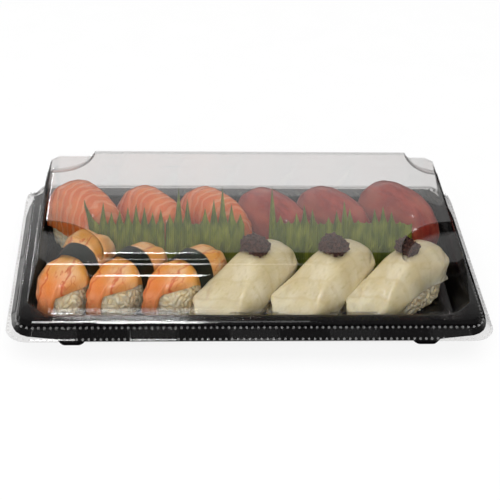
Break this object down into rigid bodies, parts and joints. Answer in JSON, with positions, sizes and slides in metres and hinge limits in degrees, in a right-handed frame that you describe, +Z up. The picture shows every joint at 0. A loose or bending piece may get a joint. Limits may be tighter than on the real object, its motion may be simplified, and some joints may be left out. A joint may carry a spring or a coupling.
{
  "type": "takeaway sushi tray",
  "caption": "Black oblong takeaway tray with a clear pressed-on lid over rows of slanting nigiri sushi, divided by a hedge of cut green leaf.",
  "frame": {"origin": "on the ground, under the middle of the tray", "axes": "+X along the tray to the right, +Y to its back, +Z up"},
  "size_m": [0.25, 0.145, 0.054],
  "materials": {
    "tray": "black moulded sheet, satin gloss",
    "lid": "clear moulded sheet, hazy on its top panel",
    "rice": "moist cooked rice",
    "shrimp": "cooked shrimp, orange with red lines over white",
    "fish": "pale raw fish, moist",
    "salmon": "raw salmon with pale fat lines",
    "tuna": "raw tuna, deep red",
    "nori": "dried seaweed",
    "paste": "coarse dark paste",
    "leaf": "cut green leaf, ribbed"
  },
  "bodies": {
    "root": {"tray": "tray", "lid": "lid", "rice_01": "rice", "rice_02": "rice", "rice_03": "rice", "rice_04": "rice", "rice_05": "rice", "rice_06": "rice", "rice_07": "rice", "rice_08": "rice", "rice_09": "rice", "rice_10": "rice", "rice_11": "rice", "rice_12": "rice", "shrimp_1": "shrimp", "shrimp_2": "shrimp", "shrimp_3": "shrimp", "nori_band_1": "nori", "nori_band_2": "nori", "nori_band_3": "nori", "fish_1": "fish", "fish_2": "fish", "fish_3": "fish", "paste_dab_1": "paste", "paste_dab_2": "paste", "paste_dab_3": "paste", "salmon_1": "salmon", "salmon_2": "salmon", "salmon_3": "salmon", "tuna_1": "tuna", "tuna_2": "tuna", "tuna_3": "tuna", "leaf_1": "leaf", "leaf_2": "leaf", "leaf_3": "leaf", "leaf_4": "leaf"}
  },
  "joints": []
}
